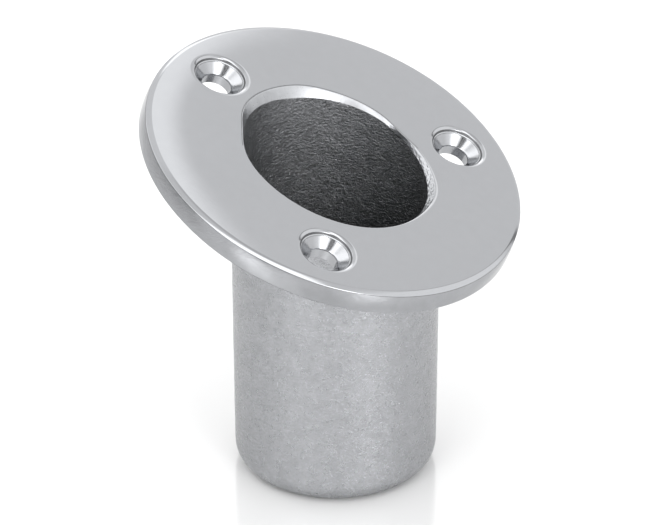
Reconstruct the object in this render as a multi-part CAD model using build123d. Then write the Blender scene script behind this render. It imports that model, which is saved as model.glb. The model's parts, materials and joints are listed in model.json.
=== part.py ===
"""Flush stanchion base: a round deck flange welded around a closed socket that leans out of it.

The socket stands on its closed foot, with its bore along +Z and the middle of the foot at the origin.
The flange is tilted about Y, so that it is lowest towards +X, and the part is symmetric about the XZ plane.
All sizes are in millimetres and degrees.
"""

from build123d import *
from math import cos, radians, sin, sqrt, tan
import os

# Driving dimensions
BORE_RADIUS = 12.8  # a slip fit around a 25 mm stanchion tube
SOCKET_RADIUS = 14.65  # outside of the socket where it passes through the flange
FOOT_RADIUS = 14.4  # outside of the socket at its foot, after the casting draft
FOOT_EDGE_RADIUS = 2.6  # rounding of the foot's outside edge
FLOOR_THICKNESS = 2.4  # closed end of the socket
FLOOR_CORNER_RADIUS = 1.2  # rounding between the floor and the bore
END_HEIGHT = 4.0  # the closed end is welded to the tube here
MOUTH_HEIGHT = 48.3  # where the flange's top face crosses the socket's axis

TILT = 22.0  # between the flange's normal and the socket's axis
FLANGE_RADIUS = 27.5
FLANGE_THICKNESS = 3.4
CROWN_START_RADIUS = 21.6  # the polished top face is flat inside this radius
CROWN_DROP = 0.16  # how far the top face falls from there to the rim's rounding
RIM_ROUND_WIDTH = 1.2
RIM_ROUND_DROP = 0.62
UNDERSIDE_CHAMFER = 0.25

SCREW_CIRCLE_RADIUS = 20.3
SCREW_COUNT = 3
SCREW_HOLE_RADIUS = 2.15  # clearance for an M4 countersunk screw
COUNTERSINK_RADIUS = 3.7
COUNTERSINK_ANGLE = 90.0
LIP_WIDTH = 0.6  # the countersink's polished, softened edge
LIP_DEPTH = 0.12

WELD_DEPTH = 1.4  # from the flange's top face down to the end of the socket's wall
BEVEL_WIDTH = 0.85  # how much wider than the bore the weld is ground at the top face

# Places worked out from the driving dimensions
NORMAL = (sin(radians(TILT)), 0, cos(radians(TILT)))
DOWNHILL = (cos(radians(TILT)), 0, -sin(radians(TILT)))
TOP_PLANE = Plane(origin=(0, 0, MOUTH_HEIGHT), x_dir=DOWNHILL, z_dir=NORMAL)
# The flange lies between these heights wherever the socket's wall passes through it.
SLOPE_RISE = SOCKET_RADIUS * tan(radians(TILT))
DRAFT_START_HEIGHT = MOUTH_HEIGHT - SLOPE_RISE - FLANGE_THICKNESS / cos(radians(TILT)) - 0.5
TALL = 2 * MOUTH_HEIGHT  # longer than the whole part


def socket_axis_cylinder(radius, bottom=-TALL / 2, height=2 * TALL):
    """A cylinder around the socket's axis."""
    return Pos(0, 0, bottom) * Cylinder(radius, height, align=(Align.CENTER, Align.CENTER, Align.MIN))


def below_top_face(depth):
    """A large block that fills everything deeper than depth under the flange's top face."""
    block = Box(2 * TALL, 2 * TALL, 2 * TALL, align=(Align.CENTER, Align.CENTER, Align.MAX))
    return TOP_PLANE.location * Pos(0, 0, -depth) * block


def flange_blank():
    """The flange turned about its own axis: flat top, slight crown, rounded rim, square underside."""
    crown_width = FLANGE_RADIUS - RIM_ROUND_WIDTH - CROWN_START_RADIUS
    crown_radius = (crown_width**2 + CROWN_DROP**2) / (2 * CROWN_DROP)
    crown_mid_width = crown_width / 2
    crown_mid_drop = crown_radius - sqrt(crown_radius**2 - crown_mid_width**2)
    rim_top = (FLANGE_RADIUS - RIM_ROUND_WIDTH, -CROWN_DROP)
    rim_side = (FLANGE_RADIUS, -CROWN_DROP - RIM_ROUND_DROP)
    crown_slope = crown_width / (crown_radius - CROWN_DROP)
    with BuildPart() as blank:
        with BuildSketch(Plane.XZ):
            with BuildLine():
                Line((0, 0), (CROWN_START_RADIUS, 0))
                ThreePointArc(
                    (CROWN_START_RADIUS, 0),
                    (CROWN_START_RADIUS + crown_mid_width, -crown_mid_drop),
                    rim_top,
                )
                TangentArc(rim_top, rim_side, tangent=(1, -crown_slope))
                Polyline(
                    rim_side,
                    (FLANGE_RADIUS, UNDERSIDE_CHAMFER - FLANGE_THICKNESS),
                    (FLANGE_RADIUS - UNDERSIDE_CHAMFER, -FLANGE_THICKNESS),
                    (0, -FLANGE_THICKNESS),
                    (0, 0),
                )
            make_face()
        revolve(axis=Axis.Z)
    return blank.part


def screw_hole_cutter():
    """One countersunk hole with a softened edge, pointing down from the top face."""
    cone_depth = (COUNTERSINK_RADIUS - SCREW_HOLE_RADIUS) / tan(radians(COUNTERSINK_ANGLE / 2))
    with BuildPart() as cutter:
        with BuildSketch(Plane.XZ):
            with BuildLine():
                Polyline(
                    (0, 1),
                    (COUNTERSINK_RADIUS + LIP_WIDTH, 1),
                    (COUNTERSINK_RADIUS + LIP_WIDTH, 0),
                    (COUNTERSINK_RADIUS, -LIP_DEPTH),
                    (SCREW_HOLE_RADIUS, -LIP_DEPTH - cone_depth),
                    (SCREW_HOLE_RADIUS, -FLANGE_THICKNESS - 1),
                    (0, -FLANGE_THICKNESS - 1),
                    (0, 1),
                )
            make_face()
        revolve(axis=Axis.Z)
    return cutter.part


def make_flange():
    """The deck flange, with the socket's slanted hole and a ring of screw holes, one of them uphill."""
    flange = flange_blank()
    for index in range(SCREW_COUNT):
        angle = radians(180 + index * 360 / SCREW_COUNT)
        place = Pos(SCREW_CIRCLE_RADIUS * cos(angle), SCREW_CIRCLE_RADIUS * sin(angle), 0)
        flange -= place * screw_hole_cutter()
    return TOP_PLANE.location * flange - socket_axis_cylinder(SOCKET_RADIUS)


def socket_cup():
    """The whole socket: a drafted cup with a rounded foot, cut parallel to the flange at its open end."""
    with BuildPart() as outside:
        with BuildSketch(Plane.XZ):
            with BuildLine():
                Polyline(
                    (0, 0),
                    (FOOT_RADIUS, 0),
                    (SOCKET_RADIUS, DRAFT_START_HEIGHT),
                    (SOCKET_RADIUS, MOUTH_HEIGHT + SLOPE_RISE + 1),
                    (0, MOUTH_HEIGHT + SLOPE_RISE + 1),
                    (0, 0),
                )
            make_face()
        revolve(axis=Axis.Z)
        foot_edge = outside.edges().filter_by(GeomType.CIRCLE).sort_by(Axis.Z)[0]
        fillet(foot_edge, FOOT_EDGE_RADIUS)
    bore = socket_axis_cylinder(BORE_RADIUS, FLOOR_THICKNESS, TALL)
    bore = fillet(bore.edges().sort_by(Axis.Z)[0], FLOOR_CORNER_RADIUS)
    return (outside.part - bore) & below_top_face(WELD_DEPTH)


def make_socket_tube():
    """The socket's wall, from the closed end up to the weld at the mouth."""
    return socket_cup() - socket_axis_cylinder(TALL, END_HEIGHT - TALL, TALL)


def make_socket_end():
    """The closed end: the floor, the rounded foot and a short upstand that meets the tube."""
    return socket_cup() & socket_axis_cylinder(TALL, END_HEIGHT - TALL, TALL)


def mouth_ellipse(radius, depth):
    """The outline that a cylinder around the socket's axis leaves at this depth under the top face."""
    middle = (0, 0, MOUTH_HEIGHT - depth / cos(radians(TILT)))
    plane = Plane(origin=middle, x_dir=DOWNHILL, z_dir=NORMAL)
    return plane * Ellipse(radius / cos(radians(TILT)), radius)


def make_mouth_weld():
    """The weld that joins the socket's end to the flange, flush on top and ground to a bevel inside."""
    bottom_outline = mouth_ellipse(BORE_RADIUS, WELD_DEPTH)
    top_outline = mouth_ellipse(BORE_RADIUS + BEVEL_WIDTH, 0)
    bevel = loft([bottom_outline, top_outline], ruled=True)
    ring = socket_axis_cylinder(SOCKET_RADIUS) & (below_top_face(0) - below_top_face(WELD_DEPTH))
    return ring - bevel


def main():
    os.makedirs("parts", exist_ok=True)
    nodes = {
        "flange": make_flange(),
        "socket_tube": make_socket_tube(),
        "socket_end": make_socket_end(),
        "mouth_weld": make_mouth_weld(),
    }
    for name, shape in nodes.items():
        export_step(shape, f"parts/{name}.step")


main()
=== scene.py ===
"""The looks of the stanchion base: polished flange, hand-ground mouth and as-cast socket.

Lengths are in millimetres until a mesh is made, and angles in degrees. The flange's own axes are u, its
downhill direction, v, which is +Y, and its normal. The socket's axis is +Z.
"""

import json
from math import atan2, cos, degrees, radians, sin, sqrt, tan

import bmesh
import bpy
import numpy as np
from mathutils import Matrix, Vector, noise


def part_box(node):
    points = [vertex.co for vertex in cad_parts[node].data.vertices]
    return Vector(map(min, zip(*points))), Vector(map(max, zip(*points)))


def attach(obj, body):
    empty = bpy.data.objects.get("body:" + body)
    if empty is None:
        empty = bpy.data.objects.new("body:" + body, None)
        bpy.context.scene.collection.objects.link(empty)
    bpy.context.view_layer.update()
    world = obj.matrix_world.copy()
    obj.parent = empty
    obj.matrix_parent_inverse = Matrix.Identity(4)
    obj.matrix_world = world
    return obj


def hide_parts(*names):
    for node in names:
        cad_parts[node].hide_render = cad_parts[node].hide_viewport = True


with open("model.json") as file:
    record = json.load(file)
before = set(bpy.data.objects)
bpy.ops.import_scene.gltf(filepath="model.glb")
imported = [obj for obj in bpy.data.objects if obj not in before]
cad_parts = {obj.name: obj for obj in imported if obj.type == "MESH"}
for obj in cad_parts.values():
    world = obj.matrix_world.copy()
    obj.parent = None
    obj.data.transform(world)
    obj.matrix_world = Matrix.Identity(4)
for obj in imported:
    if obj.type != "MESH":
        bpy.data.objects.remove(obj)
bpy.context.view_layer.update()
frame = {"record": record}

MM = 0.001

# ---------------------------------------------------------------------------
# Sizes read from the frame
# ---------------------------------------------------------------------------
mounts = {mount["name"]: mount for mount in frame["record"]["mounts"]}
_, tube_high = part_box("socket_tube")
_, flange_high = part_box("flange")
_, end_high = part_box("socket_end")
BORE_RADIUS = mounts["socket_bore"]["dims"]["r_mm"]
SCREW_CIRCLE_RADIUS = mounts["deck_screws"]["dims"]["pcd_mm"] / 2
SCREW_HOLE_RADIUS = mounts["deck_screws"]["dims"]["hole_r_mm"]
FLOOR_THICKNESS = mounts["socket_floor"]["pos_m"][2] / MM
SOCKET_RADIUS = tube_high.y / MM
FLANGE_RADIUS = flange_high.y / MM
END_HEIGHT = end_high.z / MM

NORMAL = Vector(mounts["deck_screws"]["axis"])
TILT = degrees(atan2(NORMAL.x, NORMAL.z))
SLOPE = tan(radians(TILT))
COS_TILT = cos(radians(TILT))
SIN_TILT = sin(radians(TILT))
DOWNHILL = Vector((COS_TILT, 0, -SIN_TILT))
ACROSS = Vector((0, 1, 0))

# ---------------------------------------------------------------------------
# Sizes repeated from the CAD source
# ---------------------------------------------------------------------------
MOUTH_HEIGHT = 48.3
FOOT_RADIUS = 14.4
FOOT_EDGE_RADIUS = 3.0  # a little rounder than in the CAD source
FLOOR_CORNER_RADIUS = 1.2
FLANGE_THICKNESS = 3.4
CROWN_START_RADIUS = 21.6
CROWN_DROP = 0.16
RIM_ROUND_WIDTH = 1.2
UNDERSIDE_CHAMFER = 0.25
WELD_DEPTH = 1.4

RIM_START_RADIUS = FLANGE_RADIUS - RIM_ROUND_WIDTH
SCREW_ANGLES = (180, 300, 60)

# The photograph's camera: its azimuth, elevation and distance from the middle of the mouth, how it is
# turned away from there, and its lens and sensor in mm
CAMERA_AZIMUTH = -58.45
CAMERA_ELEVATION = 27.9
CAMERA_DISTANCE = 586.0
CAMERA_PITCH = 1.444
CAMERA_YAW = -0.063
CAMERA_ROLL = -0.011
CAMERA_LENS = 230.3
SENSOR_WIDTH = 36.0


def flange_points(u, v, height):
    """Points given along the flange's own axes, height above its top face, as an array of rows."""
    middle = np.array((0, 0, MOUTH_HEIGHT))
    along = np.stack([np.broadcast_to(a, np.shape(u + v + height)) for a in (u, v, height)], -1)
    return middle + along @ np.array((DOWNHILL, ACROSS, NORMAL))


def height_under_top(x, depth):
    """Z of the plane that lies depth under the flange's top face, at this X."""
    return MOUTH_HEIGHT - (depth + x * SIN_TILT) / COS_TILT


def smooth(value):
    """Smoothstep from 0 to 1."""
    t = np.clip(value, 0.0, 1.0)
    return t * t * (3 - 2 * t)


def bump(angle, centre, width, power=2):
    """A smooth bump of height 1 around an angle, in degrees. A higher power makes its top flatter."""
    off = (np.asarray(angle) - centre + 180) % 360 - 180
    return np.exp(-np.abs(off / width) ** power)


def noise_at(points, size, seed):
    """Smooth noise of roughly -1 to 1 at each point, with features of this size in mm."""
    shift = Vector((seed * 17.3, seed * 5.1, seed * 11.7))
    return np.array([noise.noise(Vector(p) / size + shift) for p in points])


# ---------------------------------------------------------------------------
# Meshes
# ---------------------------------------------------------------------------
def ring_quads(first, second, count):
    """Quads between two closed rings of points whose first indices are given."""
    here = np.arange(count)
    after = (here + 1) % count
    return np.stack([first + here, first + after, second + after, second + here], 1)


def add_piece(name, points, faces, materials, face_material, sharp_angle=40):
    """A mesh object from points in mm and faces, smooth except across sharp edges."""
    mesh = bpy.data.meshes.new(name)
    corners = [[int(point) for point in face] for face in faces]
    mesh.from_pydata((np.asarray(points) * MM).tolist(), [], corners)
    for material in materials:
        mesh.materials.append(material)
    mesh.polygons.foreach_set("material_index", np.asarray(face_material, np.int32))
    outward = bmesh.new()
    outward.from_mesh(mesh)
    bmesh.ops.recalc_face_normals(outward, faces=outward.faces)
    outward.to_mesh(mesh)
    outward.free()
    mesh.shade_smooth()
    mesh.set_sharp_from_angle(angle=radians(sharp_angle))
    piece = bpy.data.objects.new(name, mesh)
    bpy.context.scene.collection.objects.link(piece)
    return piece


def merge_close(points, faces, distance=1e-4):
    """Joins points that coincide, and renumbers the faces."""
    keys = np.round(np.asarray(points) / distance).astype(np.int64)
    _, first, inverse = np.unique(keys, axis=0, return_index=True, return_inverse=True)
    return np.asarray(points)[first], [inverse.ravel()[np.asarray(face)] for face in faces]


# --- flange ----------------------------------------------------------------
RIM_STEPS = 480  # around the rim and around the middle hole
PATCH_STEPS = 32  # of those, on each side of a screw hole's own patch
SIDE_STEPS = 32  # from the middle hole out to the rim
PATCH_RINGS = 22
UNDERSIDE_RINGS = 6
WALL_STEPS = 6  # down the middle hole's wall
LOWER_SIDE_STEPS = 5  # down the straight lower part of the flange's side
CONE_STEPS = 6  # down a countersink's 90 degree cone, and down the plain hole under it
CONE_EDGE_WIDTH = 0.05  # broken edge between the cone and the plain hole
CONE_EDGE_DEPTH = 0.07
DISH_RADIUS = 4.4  # outer edge of the soft dish polished around each countersink
# The corner finish is painted very dark: a painted dark reflection on the rim, thin dark rings in the
# countersinks.
POLISHED, TURNED, CAST, CORNER_PAINTED_DARK, SIDE = range(5)  # the flange's finishes
# Down a countersink: each stretch's length, its slope at both ends, its steps and its finish
SCREW_STRETCHES = (
    (0.2, 1, 9, 4, POLISHED),
    (0.2, 9, 23, 4, POLISHED),
    (0.14, 23, 28, 2, POLISHED),
    (0.1, 28, 24, 2, POLISHED),
    (0.08, 36, 46, 1, POLISHED),
    # This stretch and the one two below take the corner finish, painted as thin dark rings.
    (0.32, 52, 62, 4, CORNER_PAINTED_DARK),
    (0.18, 26, 32, 3, TURNED),
    (0.06, 58, 58, 1, CORNER_PAINTED_DARK),
    (0.06, 46, 46, 1, TURNED),
)
# Down the rim, in the same way: the polished band, the corner under it with a thin line painted dark as a
# painted dark reflection, and the slightly bellied side
RIM_STRETCHES = (
    (0.16, 4, 18, 4, POLISHED),
    (0.76, 18, 34, 18, POLISHED),
    (0.06, 34, 57, 3, POLISHED),
    (0.06, 57, 80, 2, CORNER_PAINTED_DARK),
    (2.2, 80, 90, 16, SIDE),
)
# The same where it is worn most, towards the camera
WORN_RIM_STRETCHES = (
    (0.16, 4, 18, 4, POLISHED),
    (0.66, 18, 32, 18, POLISHED),
    (0.06, 32, 53, 3, POLISHED),
    (0.06, 53, 73, 2, CORNER_PAINTED_DARK),
    (2.4, 73, 88, 16, SIDE),
)


def crown_drop(radius):
    """How far the polished top face has fallen below its plane at this distance from its middle."""
    t = np.clip((radius - CROWN_START_RADIUS) / (RIM_START_RADIUS - CROWN_START_RADIUS), 0, None)
    return CROWN_DROP * t * t


def hole_outline(angles, depth):
    """Where the socket's outside crosses the plane this deep in the flange, as u and v."""
    x = SOCKET_RADIUS * np.cos(np.radians(angles))
    y = SOCKET_RADIUS * np.sin(np.radians(angles))
    return x / COS_TILT + depth * SLOPE, y


def spoke(angles, t, depth, outer_radius):
    """Points a fraction t of the way from the middle hole out to the rim, as rows of u and v."""
    inner = np.stack(hole_outline(angles, depth), -1)
    directions = np.stack([np.cos(np.radians(angles)), np.sin(np.radians(angles))], -1)
    outer = outer_radius(angles)[..., None] * directions
    return inner + np.asarray(t)[..., None] * (outer - inner)


def patch_outline(centre_angle, depth, outer_radius):
    """The closed outline of the patch around a screw hole, as rows of u and v."""
    steps = np.arange(-PATCH_STEPS, PATCH_STEPS + 1)
    angles = centre_angle + steps * 360 / RIM_STEPS
    side = np.arange(1, SIDE_STEPS) / SIDE_STEPS
    out = spoke(angles, np.ones(len(angles)), depth, outer_radius)
    back = spoke(angles[::-1], np.zeros(len(angles)), depth, outer_radius)
    going_in = spoke(np.full(len(side), angles[-1]), side[::-1], depth, outer_radius)
    going_out = spoke(np.full(len(side), angles[0]), side, depth, outer_radius)
    return np.concatenate([out, going_in, back, going_out])


def screw_centre(centre_angle):
    """The middle of a screw hole, as u and v."""
    return SCREW_CIRCLE_RADIUS * np.array((cos(radians(centre_angle)), sin(radians(centre_angle))))


def directions_from(middle, outline):
    """Unit vectors from a point to each point of an outline."""
    away = outline - middle
    return away / np.linalg.norm(away, axis=1)[:, None]


def lift(flat, depth, crowned):
    """Points on a level of the flange, from rows of u and v."""
    drop = crown_drop(np.hypot(flat[..., 0], flat[..., 1])) * crowned
    return flange_points(flat[..., 0], flat[..., 1], -depth - drop)


def patch_face(centre_angle, hole_radius, depth, outer_radius, rings, crowned):
    """Rings of points from a screw hole's edge out to the outline of its patch."""
    outline = patch_outline(centre_angle, depth, outer_radius)
    middle = screw_centre(centre_angle)
    edge = middle + directions_from(middle, outline) * hole_radius
    fractions = (np.arange(rings + 1) / rings) ** 1.5  # closer together near the hole
    return [lift(edge + t * (outline - edge), depth, crowned) for t in fractions]


def face_between_patches(centre_angle, depth, outer_radius, crowned):
    """Rows of points from the middle hole out to the rim, between one screw hole's patch and the next."""
    steps = np.arange(PATCH_STEPS, RIM_STEPS // 3 - PATCH_STEPS + 1)
    angles = centre_angle + steps * 360 / RIM_STEPS
    rows = []
    for step in range(SIDE_STEPS + 1):
        flat = spoke(angles, np.full(len(angles), step / SIDE_STEPS), depth, outer_radius)
        rows.append(lift(flat, depth, crowned))
    return rows


def slope_profile(stretches):
    """Points along a profile, as distances along and down from its start, and each step's finish."""
    along, down = 0.0, 0.0
    profile = [(along, down)]
    finishes = []
    for length, first, last, steps, finish in stretches:
        for step in range(steps):
            slope = radians(first + (last - first) * (step + 0.5) / steps)
            along += cos(slope) * length / steps
            down += sin(slope) * length / steps
            profile.append((along, down))
            finishes.append(finish)
    return profile, finishes


def screw_profile():
    """(radius, depth) down a countersunk hole, and the finish of each step."""
    edge, finishes = slope_profile(SCREW_STRETCHES)
    profile = [(DISH_RADIUS - along, down) for along, down in edge]
    cone_top_radius, cone_top_depth = profile[-1]
    cone_width = cone_top_radius - SCREW_HOLE_RADIUS - CONE_EDGE_WIDTH
    for step in range(1, CONE_STEPS + 1):
        inward = cone_width * step / CONE_STEPS
        profile.append((cone_top_radius - inward, cone_top_depth + inward))
    wall_top = profile[-1][1] + CONE_EDGE_DEPTH
    for step in range(CONE_STEPS + 1):
        depth = wall_top + (FLANGE_THICKNESS - wall_top) * step / CONE_STEPS
        profile.append((SCREW_HOLE_RADIUS, depth))
    return profile, finishes + [TURNED] * (len(profile) - 1 - len(finishes))


def rim_points(angles):
    """Radius and height at these angles of each step down the rim, and the steps' finishes."""
    worn = bump(angles, -65, 50, 4)
    # The rounding is tightest on the camera's right and at the back.
    rounding = 0.99 - 0.45 * bump(angles, 62, 66, 4)
    profile, finishes = slope_profile(RIM_STRETCHES)
    worn_profile, _ = slope_profile(WORN_RIM_STRETCHES)
    width = profile[-1][0]
    worn_width = worn_profile[-1][0]
    steps = []
    for (along, down), (worn_along, worn_down) in zip(profile, worn_profile):
        inset = (1 - worn) * rounding * (width - along) + worn * (worn_width - worn_along)
        steps.append((FLANGE_RADIUS - inset, -(1 - worn) * rounding * down - worn * worn_down))
    return steps, finishes


def face_radius(angles):
    """Radius of the edge between the polished face and the rim."""
    steps, _ = rim_points(angles)
    return steps[0][0]


def underside_radius(angles):
    """Radius of the flange's underside, inside its chamfer."""
    return FLANGE_RADIUS - UNDERSIDE_CHAMFER + 0 * angles


def make_flange(polished, turned, unpolished, corner, side):
    """The polished flange: a closed mesh with dished countersinks, a crowned face and a soft rim."""
    points = []
    faces = []
    face_material = []

    def add_layers(layers, finishes, closed=True):
        """Rows of quads between layers of points. Finishes are one for all rows or a list, one each."""
        base = len(points)
        count = len(layers[0])
        for layer in layers:
            points.extend(layer)
        rows = len(layers) - 1
        if isinstance(finishes, int):
            finishes = [finishes] * rows
        for i in range(rows):
            quads = ring_quads(base + i * count, base + (i + 1) * count, count)
            if not closed:
                quads = quads[:-1]
            faces.extend(quads)
            face_material.extend([finishes[i]] * len(quads))

    profile, profile_finishes = screw_profile()
    for centre in SCREW_ANGLES:
        add_layers(patch_face(centre, DISH_RADIUS, 0.0, face_radius, PATCH_RINGS, 1), POLISHED)
        bottom_rings = (SCREW_HOLE_RADIUS, FLANGE_THICKNESS, underside_radius, UNDERSIDE_RINGS, 0)
        add_layers(patch_face(centre, *bottom_rings), CAST)
        add_layers(face_between_patches(centre, 0.0, face_radius, 1), POLISHED, closed=False)
        bottom = face_between_patches(centre, FLANGE_THICKNESS, underside_radius, 0)
        add_layers(bottom, CAST, closed=False)
        middle = screw_centre(centre)
        top_away = directions_from(middle, patch_outline(centre, 0.0, face_radius))
        low_away = directions_from(middle, patch_outline(centre, FLANGE_THICKNESS, underside_radius))
        hole = []
        for radius, depth in profile:
            t = depth / FLANGE_THICKNESS
            away = (1 - t) * top_away + t * low_away
            flat = middle + away / np.linalg.norm(away, axis=1)[:, None] * radius
            hole.append(lift(flat, depth, 1 - t))
        add_layers(hole, profile_finishes)

    around = 360 * np.arange(RIM_STEPS) / RIM_STEPS
    cosines = np.cos(np.radians(around))
    sines = np.sin(np.radians(around))
    face_drop = crown_drop(face_radius(around))
    steps, rim_finishes = rim_points(around)
    rim = []
    for radius, height in steps:
        rim.append(flange_points(radius * cosines, radius * sines, height - face_drop))
    upright_top = steps[-1][1] - face_drop
    upright_bottom = UNDERSIDE_CHAMFER - FLANGE_THICKNESS
    for step in range(1, LOWER_SIDE_STEPS + 1):
        height = upright_top + (upright_bottom - upright_top) * step / LOWER_SIDE_STEPS
        rim.append(flange_points(FLANGE_RADIUS * cosines, FLANGE_RADIUS * sines, height))
    radius = underside_radius(around)
    rim.append(flange_points(radius * cosines, radius * sines, 0 * radius - FLANGE_THICKNESS))
    # The last row, the underside's chamfer, takes the corner finish: a painted dark reflection of the
    # shaded floor.
    add_layers(rim, rim_finishes + [SIDE] * LOWER_SIDE_STEPS + [CORNER_PAINTED_DARK])

    wall = []
    for step in range(WALL_STEPS + 1):
        depth = FLANGE_THICKNESS * step / WALL_STEPS
        wall.append(flange_points(*hole_outline(around, depth), -depth + 0 * cosines))
    add_layers(wall, CAST)
    points, faces = merge_close(points, faces)
    materials = [polished, turned, unpolished, corner, side]
    return add_piece("flange_polished", points, faces, materials, face_material)


# --- mouth -----------------------------------------------------------------
MOUTH_STEPS = 720
MEAN_MOUTH_RADIUS = 13.47
TOP_ROWS = 6  # from the weld's outside in to the mouth's soft edge
OUTLINE_WIDTH = 0.09  # thin line, painted dark, outside the soft edge
SOFT_EDGE_ROWS = 7
SOFT_EDGE_TURN = 63  # the slope at which the soft edge gives way to the bevel
SOFT_EDGE_DEPTH = 0.35  # for each mm of its width, if it turned through 90 degrees
BEVEL_ROWS = 26
BORE_ROWS = 3


def mouth_radius(angles):
    """The uneven, hand-ground outline of the mouth: two places ground short and three ground wide."""
    short = 0.62 * bump(angles, 76, 14) + 0.68 * bump(angles, -146, 17)
    wide = 0.4 * bump(angles, 27, 17) + 0.2 * bump(angles, 140, 14) + 0.12 * bump(angles, -40, 40)
    return MEAN_MOUTH_RADIUS - short + wide


def bevel_depth(angles):
    """How deep the bevel reaches, deepest on the uphill side and shallow across from the camera."""
    return 0.85 + 0.6 * bump(angles, 175, 38) - 0.45 * bump(angles, 92, 30) + 0.1 * bump(angles, 20, 25)


def make_mouth_ring(polished, ground, corner, bore):
    """The weld ring: flush and polished on top, bevelled inside and rough on the downhill side."""
    finish_polished, finish_ground, finish_painted_dark, finish_bore = range(4)
    angles = 360 * np.arange(MOUTH_STEPS) / MOUTH_STEPS
    cosines = np.cos(np.radians(angles))
    sines = np.sin(np.radians(angles))
    edge = mouth_radius(angles)
    depth = bevel_depth(angles)
    rough = np.clip(bump(angles, 24, 24) + 0.3 * bump(angles, 70, 22), 0, 1)
    soft = 0.1 + 0.35 * bump(angles, 25, 32)  # how wide the polish rolls over the mouth's edge
    flat = 0 * angles
    layers = []
    finishes = []

    def layer(radius, down, finish=finish_polished, grit=0.0):
        """A ring of points, and the finish of the faces that lead to it from the ring before."""
        x = radius * cosines
        y = radius * sines
        points = np.stack([x, y, height_under_top(x, down)], 1)
        if grit:
            amount = grit * rough * (noise_at(points, 0.55, 1) + 0.7 * noise_at(points, 0.23, 2))
            amount += grit * 0.07 * noise_at(points, 1.6, 3)
            points -= amount[:, None] * np.stack([cosines, sines, flat - 1], 1)
        layers.append(points)
        finishes.append(np.broadcast_to(finish, MOUTH_STEPS))

    for step in range(TOP_ROWS + 1):
        t = step / TOP_ROWS
        layer(SOCKET_RADIUS + t * (edge + soft + OUTLINE_WIDTH - SOCKET_RADIUS), flat)
    # The thin line painted dark runs only along the mouth's back and left, seen from the camera.
    outline = np.where((angles > 62) & (angles < 228), finish_painted_dark, finish_polished)
    layer(edge + soft, 0.012 * bump(angles, 145, 75, 4), outline)
    for step in range(1, SOFT_EDGE_ROWS + 1):
        turn = radians(SOFT_EDGE_TURN * step / SOFT_EDGE_ROWS)
        inset = soft * (1 - sin(turn) / sin(radians(SOFT_EDGE_TURN)))
        layer(edge + inset, soft * SOFT_EDGE_DEPTH * (1 - cos(turn)))
    bevel_top = soft * SOFT_EDGE_DEPTH * (1 - cos(radians(SOFT_EDGE_TURN)))
    for step in range(1, BEVEL_ROWS + 1):
        t = step / BEVEL_ROWS
        radius = edge + (BORE_RADIUS - edge) * t**0.9
        fade = min(1.0, 4 * t, 5 * (1 - t))
        layer(radius, bevel_top + (depth - bevel_top) * t, finish_ground, 0.1 * fade)
    for step in range(1, BORE_ROWS + 1):
        layer(BORE_RADIUS + flat, depth + (WELD_DEPTH - depth) * step / BORE_ROWS, finish_bore)
    layer(SOCKET_RADIUS + flat, WELD_DEPTH + flat)

    faces = []
    face_material = []
    for i in range(len(layers)):
        following = (i + 1) % len(layers)
        faces.extend(ring_quads(i * MOUTH_STEPS, following * MOUTH_STEPS, MOUTH_STEPS)[:, ::-1])
        face_material.extend(finishes[following])
    materials = [polished, ground, corner, bore]
    return add_piece("mouth_ring_ground", np.concatenate(layers), faces, materials, face_material)


# --- socket ----------------------------------------------------------------
TUBE_STEPS = 360
TUBE_ANGLES = np.radians(360 * np.arange(TUBE_STEPS) / TUBE_STEPS)
TUBE_COSINES = np.cos(TUBE_ANGLES)
TUBE_SINES = np.sin(TUBE_ANGLES)
OUTSIDE_ROWS = 140
INSIDE_ROWS = 100
FADE_ROWS = 6  # the relief fades out over these at the weld
RELIEF_INSET = 0.03  # how far the relief's mean lies inside the CAD's surface
OUTSIDE_SEED = 10
BORE_SEED = 30
CAST_FINISH, BORE_FINISH = range(2)

FOOT_ARC_STEPS = 18
FLOOR_ARC_STEPS = 8
UPSTAND_STEPS = 6  # from the tube down to the foot's rounding
CAP_STEPS = 30  # across the flat of the foot, and of the floor
FLOOR_CAP_RADIUS = 0.2  # the single face in the middle of the floor
DRAFT_END_GAP = 0.5  # the casting draft ends this far under the flange
DENT_HEIGHT = 2.4  # the dented band around the foot ends this high


def cast_relief(points, seed):
    """The as-cast surface's height in mm: broad unevenness and orange-peel grain."""
    grain = 0.010 * noise_at(points, 1.1, seed)
    broad = 0.02 * noise_at(points, 7.0, seed + 2) + 0.012 * noise_at(points, 3.0, seed + 3)
    return grain + broad


def outside_radius(z):
    """The socket's outside radius at this height, with its casting draft."""
    draft_top = height_under_top(SOCKET_RADIUS, FLANGE_THICKNESS) - DRAFT_END_GAP
    t = np.clip(z / draft_top, 0, 1)
    return FOOT_RADIUS + (SOCKET_RADIUS - FOOT_RADIUS) * t


def tube_layers(radius_of, rows, seed, outward):
    """Rings of the socket's wall, from the closed end up to the weld, where the cast relief fades out."""
    top = height_under_top(SOCKET_RADIUS * TUBE_COSINES, WELD_DEPTH)
    away = np.stack([TUBE_COSINES, TUBE_SINES, 0 * TUBE_ANGLES], 1)
    layers = []
    for row in range(rows + 1):
        t = row / rows
        z = END_HEIGHT + t * (top - END_HEIGHT)
        radius = radius_of(z)
        x = radius * TUBE_COSINES
        y = radius * TUBE_SINES
        if row == rows:
            z = height_under_top(x, WELD_DEPTH)
        points = np.stack([x, y, z], 1)
        fade = smooth((1 - t) * rows / FADE_ROWS)
        relief = (cast_relief(points, seed) - RELIEF_INSET) * fade
        layers.append(points + (outward * relief)[:, None] * away)
    return layers


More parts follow.
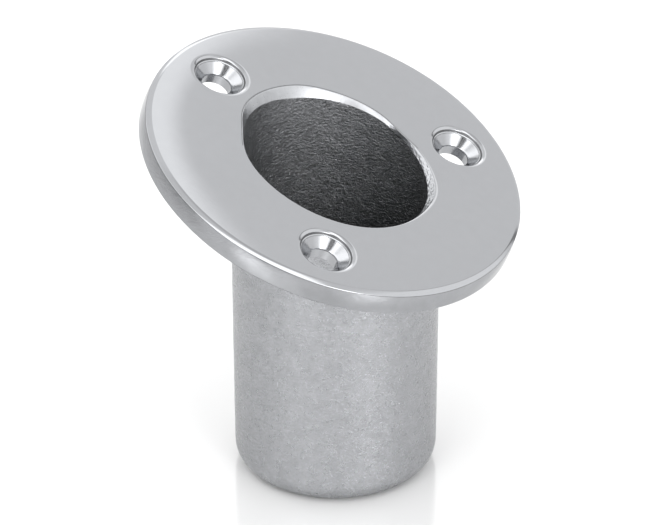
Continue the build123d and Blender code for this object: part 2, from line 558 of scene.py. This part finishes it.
def make_socket_tube(cast, bore):
    """The socket's wall, outside and in."""
    outside = tube_layers(outside_radius, OUTSIDE_ROWS, OUTSIDE_SEED, 1)
    inside = tube_layers(lambda z: BORE_RADIUS + 0 * z, INSIDE_ROWS, BORE_SEED, -1)
    layers = outside + inside[::-1]
    faces = []
    face_material = []
    for i in range(len(layers)):
        following = (i + 1) % len(layers)
        faces.extend(ring_quads(i * TUBE_STEPS, following * TUBE_STEPS, TUBE_STEPS))
        inner = len(outside) - 1 <= i < len(layers) - 1
        face_material.extend([BORE_FINISH if inner else CAST_FINISH] * TUBE_STEPS)
    points = np.concatenate(layers)
    return add_piece("socket_tube_cast", points, faces, [cast, bore], face_material, 60)


def foot_profile():
    """(radius, height) down the outside of the closed end and in to the middle of its foot."""
    profile = []
    for step in range(UPSTAND_STEPS):
        z = END_HEIGHT + (FOOT_EDGE_RADIUS - END_HEIGHT) * step / UPSTAND_STEPS
        profile.append((outside_radius(z), z))
    for step in range(FOOT_ARC_STEPS + 1):
        turn = radians(90 * step / FOOT_ARC_STEPS)
        radius = FOOT_RADIUS - FOOT_EDGE_RADIUS * (1 - cos(turn))
        profile.append((radius, FOOT_EDGE_RADIUS * (1 - sin(turn))))
    for step in range(1, CAP_STEPS):
        profile.append(((FOOT_RADIUS - FOOT_EDGE_RADIUS) * (1 - step / CAP_STEPS), 0.0))
    return profile


def floor_profile():
    """(radius, height) from the middle of the floor out, round its corner and up the bore to the tube."""
    flat_radius = BORE_RADIUS - FLOOR_CORNER_RADIUS
    profile = []
    for step in range(CAP_STEPS, 0, -1):
        t = step / CAP_STEPS
        profile.append((flat_radius * (1 - t) + FLOOR_CAP_RADIUS * t, FLOOR_THICKNESS))
    for step in range(FLOOR_ARC_STEPS + 1):
        turn = radians(90 * step / FLOOR_ARC_STEPS)
        radius = BORE_RADIUS - FLOOR_CORNER_RADIUS * (1 - sin(turn))
        profile.append((radius, FLOOR_THICKNESS + FLOOR_CORNER_RADIUS * (1 - cos(turn))))
    profile.append((BORE_RADIUS, END_HEIGHT))
    return profile


def roughen_foot(points, radius, z):
    """The closed end's as-cast outside: the tube's relief, and dents in a band around the foot's edge."""
    relief = (cast_relief(points, OUTSIDE_SEED) - RELIEF_INSET) * smooth((radius - 2) / 3)
    dents = np.clip(noise_at(points, 0.9, 21) - 0.25, 0, None) * 0.22
    dents = dents * smooth((DENT_HEIGHT - z) / 1.4) * smooth((radius - 9) / 2)
    tilt = np.clip(1 - z / FOOT_EDGE_RADIUS, 0, 1)
    level = sqrt(max(1e-6, 1 - tilt**2))
    outward = np.stack([TUBE_COSINES * level, TUBE_SINES * level, 0 * TUBE_ANGLES - tilt], 1)
    roughened = points + (relief - dents)[:, None] * outward
    roughened[:, 2] = np.maximum(roughened[:, 2], 0.0)
    return roughened


def make_socket_end(cast, bore):
    """The closed end: rounded foot outside, floor and small corner radius inside."""
    foot = foot_profile()
    profile = foot + floor_profile()
    rings = []
    for index, (radius, z) in enumerate(profile):
        points = np.stack([radius * TUBE_COSINES, radius * TUBE_SINES, z + 0 * TUBE_ANGLES], 1)
        if index < len(foot):
            points = roughen_foot(points, radius, z)
        rings.append(points)
    faces = []
    face_material = []
    foot_last = len(foot) - 1
    for i in range(len(rings)):
        if i == foot_last:
            continue
        following = (i + 1) % len(rings)
        faces.extend(ring_quads(i * TUBE_STEPS, following * TUBE_STEPS, TUBE_STEPS)[:, ::-1])
        inner = foot_last < i < len(rings) - 1
        face_material.extend([BORE_FINISH if inner else CAST_FINISH] * TUBE_STEPS)
    around = np.arange(TUBE_STEPS)
    faces.append(foot_last * TUBE_STEPS + around)
    faces.append((len(foot) * TUBE_STEPS + around)[::-1])
    face_material.extend([CAST_FINISH, BORE_FINISH])
    return add_piece("socket_end_cast", np.concatenate(rings), faces, [cast, bore], face_material, 60)


# ---------------------------------------------------------------------------
# Materials
# ---------------------------------------------------------------------------
class Nodes:
    """A short way to add and link shader nodes."""

    def __init__(self, tree):
        self.tree = tree
        tree.nodes.clear()

    def add(self, kind, inputs=None, **settings):
        """A node with these settings, and its inputs set to a value or linked to a socket."""
        node = self.tree.nodes.new(kind)
        for key, value in settings.items():
            setattr(node, key, value)
        for key, value in (inputs or {}).items():
            socket = self.active(node.inputs, key)
            if isinstance(value, bpy.types.NodeSocket):
                self.tree.links.new(value, socket)
            else:
                socket.default_value = value
        return node

    @staticmethod
    def active(sockets, key):
        """The socket with this name or number; of several with one name, the one in use."""
        if isinstance(key, int):
            return sockets[key]
        return next(socket for socket in sockets if socket.name == key and socket.enabled)

    def link(self, source, target):
        self.tree.links.new(source, target)

    def noise(self, vector, scale, detail, roughness, distortion=0.0):
        """Noise with about this many features to a metre."""
        inputs = {"Vector": vector, "Scale": scale, "Detail": detail, "Roughness": roughness}
        inputs["Distortion"] = distortion
        return self.add("ShaderNodeTexNoise", inputs).outputs["Fac"]

    def remap(self, value, low, high, to_low, to_high, **settings):
        """Stretches a value's range from low and high to two new ends."""
        inputs = {"Value": value, "From Min": low, "From Max": high, "To Min": to_low, "To Max": to_high}
        return self.add("ShaderNodeMapRange", inputs, **settings).outputs["Result"]

    def math(self, operation, first, second=0.0, third=0.0):
        node = self.add("ShaderNodeMath", {0: first, 1: second, 2: third}, operation=operation)
        return node.outputs[0]

    def stretched(self, vector, scale):
        """Coordinates multiplied along each axis."""
        inputs = {"Vector": vector, "Scale": scale}
        return self.add("ShaderNodeMapping", inputs).outputs["Vector"]

    def blend(self, factor, first, second):
        """Mixes two colours."""
        mix = self.add("ShaderNodeMix", {"Factor": factor, "A": first, "B": second}, data_type="RGBA")
        return self.active(mix.outputs, "Result")


STEEL_TINT = 0.036


def grey(value):
    """Steel's nearly neutral grey, a little blue."""
    return (value * (1 - 0.5 * STEEL_TINT), value, value * (1 + STEEL_TINT), 1.0)


class Metal:
    """A metal whose colour wanders between two greys."""

    def __init__(self, name, dark, light):
        self.material = bpy.data.materials.new(name)
        self.material.use_nodes = True
        self.nodes = Nodes(self.material.node_tree)
        self.coords = self.nodes.add("ShaderNodeTexCoord").outputs["Object"]
        self.shader = self.nodes.add("ShaderNodeBsdfPrincipled", {"Metallic": 1.0})
        self.nodes.add("ShaderNodeOutputMaterial", {"Surface": self.shader.outputs["BSDF"]})
        patches = self.nodes.noise(self.coords, 600.0, 5.0, 0.7)
        factor = self.nodes.remap(patches, 0.3, 0.7, 0.0, 1.0)
        self.colour(self.nodes.blend(factor, grey(dark), grey(light)))

    def colour(self, source):
        self.nodes.link(source, self.shader.inputs["Base Color"])

    def roughness(self, pattern, low, high, pattern_high=0.7):
        """Roughness that wanders between two values with a pattern."""
        source = self.nodes.remap(pattern, 0.3, pattern_high, low, high)
        self.nodes.link(source, self.shader.inputs["Roughness"])

    def relief(self, pattern, strength, height):
        """Fine relief from a pattern, its height in metres."""
        inputs = {"Strength": strength, "Distance": height, "Height": pattern}
        bump_node = self.nodes.add("ShaderNodeBump", inputs)
        self.nodes.link(bump_node.outputs["Normal"], self.shader.inputs["Normal"])


def polished_steel():
    """Soft-mirror polish with faint buffing marks."""
    metal = Metal("polished_steel", 0.433, 0.445)
    smudges = metal.nodes.noise(metal.coords, 180.0, 4.0, 0.55, 0.4)
    metal.roughness(smudges, 0.075, 0.12, 0.75)
    buffing = metal.nodes.stretched(metal.coords, (260.0, 2600.0, 900.0))
    metal.relief(metal.nodes.noise(buffing, 1.0, 3.0, 0.6), 0.04, 0.00004)
    return metal.material


def turned_steel():
    """The screw holes' turned finish: duller than the polish, with fine tool marks."""
    metal = Metal("turned_steel", 0.42, 0.46)
    marks = metal.nodes.noise(metal.coords, 5200.0, 2.0, 0.6)
    metal.roughness(marks, 0.13, 0.2)
    metal.relief(marks, 0.12, 0.00004)
    return metal.material


def side_steel_painted_shade():
    """The flange's side: less polished than its face, with smudges and a slight waviness; its grey, darker
    than the face's, is painted shade.
    """
    metal = Metal("side_steel_painted_shade", 0.36, 0.4)
    smudges = metal.nodes.noise(metal.nodes.stretched(metal.coords, (1.0, 1.0, 1.6)), 260.0, 4.0, 0.6, 0.5)
    metal.roughness(smudges, 0.09, 0.2)
    metal.relief(smudges, 0.25, 0.0003)
    return metal.material


def ground_steel():
    """Bright, uneven grinding with tiny facets."""
    metal = Metal("ground_steel", 0.41, 0.5)
    facets = metal.nodes.noise(metal.coords, 2600.0, 3.0, 0.65)
    metal.roughness(facets, 0.26, 0.4)
    metal.relief(facets, 0.12, 0.00008)
    return metal.material


def cast_steel(name, dark, light, low_roughness, high_roughness, grain_scale, grain_height, pit_level):
    """Satin as-cast surface with fine grain and small dark pits; a higher pit level leaves fewer pits."""
    metal = Metal(name, dark, light)
    nodes = metal.nodes
    plain = metal.shader.inputs["Base Color"].links[0].from_socket
    grain = nodes.noise(nodes.stretched(metal.coords, (1.0, 1.0, 1.7)), grain_scale, 3.0, 0.65, 0.8)
    coarse = nodes.noise(metal.coords, 900.0, 3.0, 0.6)
    spots = nodes.noise(nodes.stretched(metal.coords, (1.0, 1.0, 1.2)), 1100.0, 1.0, 0.5)
    pits = nodes.remap(spots, pit_level, pit_level + 0.08, 0.0, 1.0)
    skin = nodes.math("MULTIPLY_ADD", coarse, 0.5, grain)
    metal.roughness(coarse, low_roughness, high_roughness)
    metal.relief(nodes.math("MULTIPLY_ADD", pits, -0.5, skin), 1.0, grain_height)
    metal.colour(nodes.blend(pits, plain, grey(0.28)))
    return metal.material


def painted_dark_corner():
    """The unpolished corners of the rim and the countersinks, and the mouth's outline, painted very dark:
    on the rim a painted dark reflection, elsewhere thin dark lines and rings.
    """
    metal = Metal("painted_dark_corner", 0.11, 0.18)
    metal.shader.inputs["Roughness"].default_value = 0.5
    return metal.material


def floor_acrylic():
    """The pale studio floor, faintly glossy."""
    material = bpy.data.materials.new("pale_floor")
    material.use_nodes = True
    nodes = Nodes(material.node_tree)
    inputs = {"Base Color": (0.7, 0.7, 0.7, 1), "Roughness": 0.15, "IOR": 1.75}
    shader = nodes.add("ShaderNodeBsdfPrincipled", inputs)
    nodes.add("ShaderNodeOutputMaterial", {"Surface": shader.outputs["BSDF"]})
    return material


# ---------------------------------------------------------------------------
# Studio
# ---------------------------------------------------------------------------
def direction(azimuth, elevation):
    """A unit vector; azimuth 0 points to the photograph's camera and grows to that camera's right."""
    turn = radians(CAMERA_AZIMUTH + azimuth)
    rise = radians(elevation)
    return Vector((cos(rise) * cos(turn), cos(rise) * sin(turn), sin(rise)))


WORLD_RADIANCE = 1.1
# Light and dark rectangles far away, each over the ones before it: its azimuth and elevation, its half
# width and half height, its radiance and how soft its edges are
PANELS = (
    (-120, 10, 50, 24, 0.62, 6),  # dim left of the room
    (200, 45, 32.3, 22, 1.65, 2.2),  # lit backdrop
    (-160, 45, 18, 26, 1.2, 4),  # its dimmer left half
    (180, 28, 6, 9, 2.3, 2),  # a bright place straight behind
    (-163, 6, 10, 11, 1.9, 3),  # low light behind on the left
    (126, 70, 14, 12, 0.85, 5),  # dim ceiling
    (88, 32, 30, 18, 1.42, 5),  # lit wall on the right
    (128, 18, 2.6, 32, 0.35, 1.6),  # gap between that wall and the backdrop
    (-90, 48, 36, 10, 2.2, 5),  # long softbox on the left
    (-30, 37, 15, 19, 2.7, 8),  # softbox on the left of the camera
    (-38, 24, 8, 14, 5.0, 5),  # strip light on the left of the camera
    (33, 30, 19, 14, 2.2, 5),  # softbox on the right of the camera
    (31, 24, 7, 17, 7.6, 4),  # strip light on the right of the camera
    (5, 70, 24, 13, 2.6, 4),  # softbox above the camera
    (-2, 44, 9, 15, 0.12, 2),  # the photographer's dark side
    (-2, 44, 1.5, 15, 0.8, 1),  # a gap in it
)


def add_panel(nodes, coords, light, azimuth, elevation, half_width, half_height, radiance, softness):
    """Lays one panel over the light so far, and gives the result."""
    forward = direction(azimuth, elevation)
    right = Vector((0, 0, 1)).cross(forward).normalized()
    up = forward.cross(right)

    def dot(axis):
        product = nodes.add("ShaderNodeVectorMath", {0: coords, 1: axis}, operation="DOT_PRODUCT")
        return product.outputs["Value"]

    ahead = nodes.math("MAXIMUM", dot(forward), 0.001)
    masks = []
    for axis, half in ((right, half_width), (up, half_height)):
        off = nodes.math("ABSOLUTE", nodes.math("DIVIDE", dot(axis), ahead))
        near = tan(radians(half - softness))
        far = tan(radians(half + softness))
        masks.append(nodes.remap(off, near, far, 1.0, 0.0, interpolation_type="SMOOTHSTEP"))
    mask = nodes.math("MULTIPLY", masks[0], masks[1])
    mask = nodes.math("MULTIPLY", mask, nodes.math("GREATER_THAN", dot(forward), 0.02))
    return nodes.remap(mask, 0.0, 1.0, light, radiance)


def make_world():
    """A white studio: softboxes and darker parts of the room, all far away."""
    world = bpy.data.worlds.new("studio")
    bpy.context.scene.world = world
    world.use_nodes = True
    nodes = Nodes(world.node_tree)
    coords = nodes.add("ShaderNodeTexCoord").outputs["Generated"]
    light = WORLD_RADIANCE
    for panel in PANELS:
        light = add_panel(nodes, coords, light, *panel)
    background = nodes.add("ShaderNodeBackground", {"Color": (1, 1, 1, 1), "Strength": light})
    nodes.add("ShaderNodeOutputWorld", {"Surface": background.outputs["Background"]})


def make_camera():
    """The camera at the photograph's place, aimed just below the mouth."""
    data = bpy.data.cameras.new("camera")
    data.lens = CAMERA_LENS
    data.sensor_width = SENSOR_WIDTH
    data.clip_start = 0.01
    data.clip_end = 50
    camera = bpy.data.objects.new("camera", data)
    back = direction(0, CAMERA_ELEVATION)
    camera.location = (Vector((0, 0, MOUTH_HEIGHT)) + back * CAMERA_DISTANCE) * MM
    right = Vector((0, 0, 1)).cross(back).normalized()
    up = back.cross(right)
    looking = Matrix((right, up, back))
    pitch = Matrix.Rotation(radians(CAMERA_PITCH), 3, "X")
    yaw = Matrix.Rotation(radians(CAMERA_YAW), 3, "Y")
    roll = Matrix.Rotation(radians(CAMERA_ROLL), 3, "Z")
    turned = roll @ yaw @ pitch @ looking
    camera.rotation_mode = "QUATERNION"
    camera.rotation_quaternion = turned.transposed().to_quaternion()
    bpy.context.scene.collection.objects.link(camera)
    bpy.context.scene.camera = camera


FLOOR_RADIUS = 6.0  # in metres
FLOOR_STEPS = 96


def make_floor():
    """A wide round floor under the foot."""
    mesh = bpy.data.meshes.new("floor")
    corners = []
    for step in range(FLOOR_STEPS):
        turn = radians(360 * step / FLOOR_STEPS)
        corners.append((FLOOR_RADIUS * cos(turn), FLOOR_RADIUS * sin(turn), 0))
    mesh.from_pydata(corners, [], [list(range(FLOOR_STEPS))])
    mesh.materials.append(floor_acrylic())
    floor = bpy.data.objects.new("floor", mesh)
    bpy.context.scene.collection.objects.link(floor)


# ---------------------------------------------------------------------------
# Put it together
# ---------------------------------------------------------------------------
bpy.context.scene.view_settings.view_transform = "Standard"
make_camera()
make_world()
make_floor()

polished = polished_steel()
ground = ground_steel()
turned = turned_steel()
cast = cast_steel("cast_steel", 0.355, 0.425, 0.2, 0.3, 1900.0, 0.00014, 0.84)
# The bore's grey is darker than the outside's: painted shade inside the socket.
bore = cast_steel("cast_bore_painted_shade", 0.2, 0.3, 0.3, 0.4, 2200.0, 0.0002, 0.9)
corner = painted_dark_corner()
side = side_steel_painted_shade()

placed = (
    (make_flange(polished, turned, cast, corner, side), "flange", "polished_steel"),
    (make_mouth_ring(polished, ground, corner, bore), "mouth_weld", "ground_steel"),
    (make_socket_tube(cast, bore), "socket_tube", "cast_steel"),
    (make_socket_end(cast, bore), "socket_end", "cast_steel"),
)
for piece, node, slot in placed:
    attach(piece, "root")
    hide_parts(node)
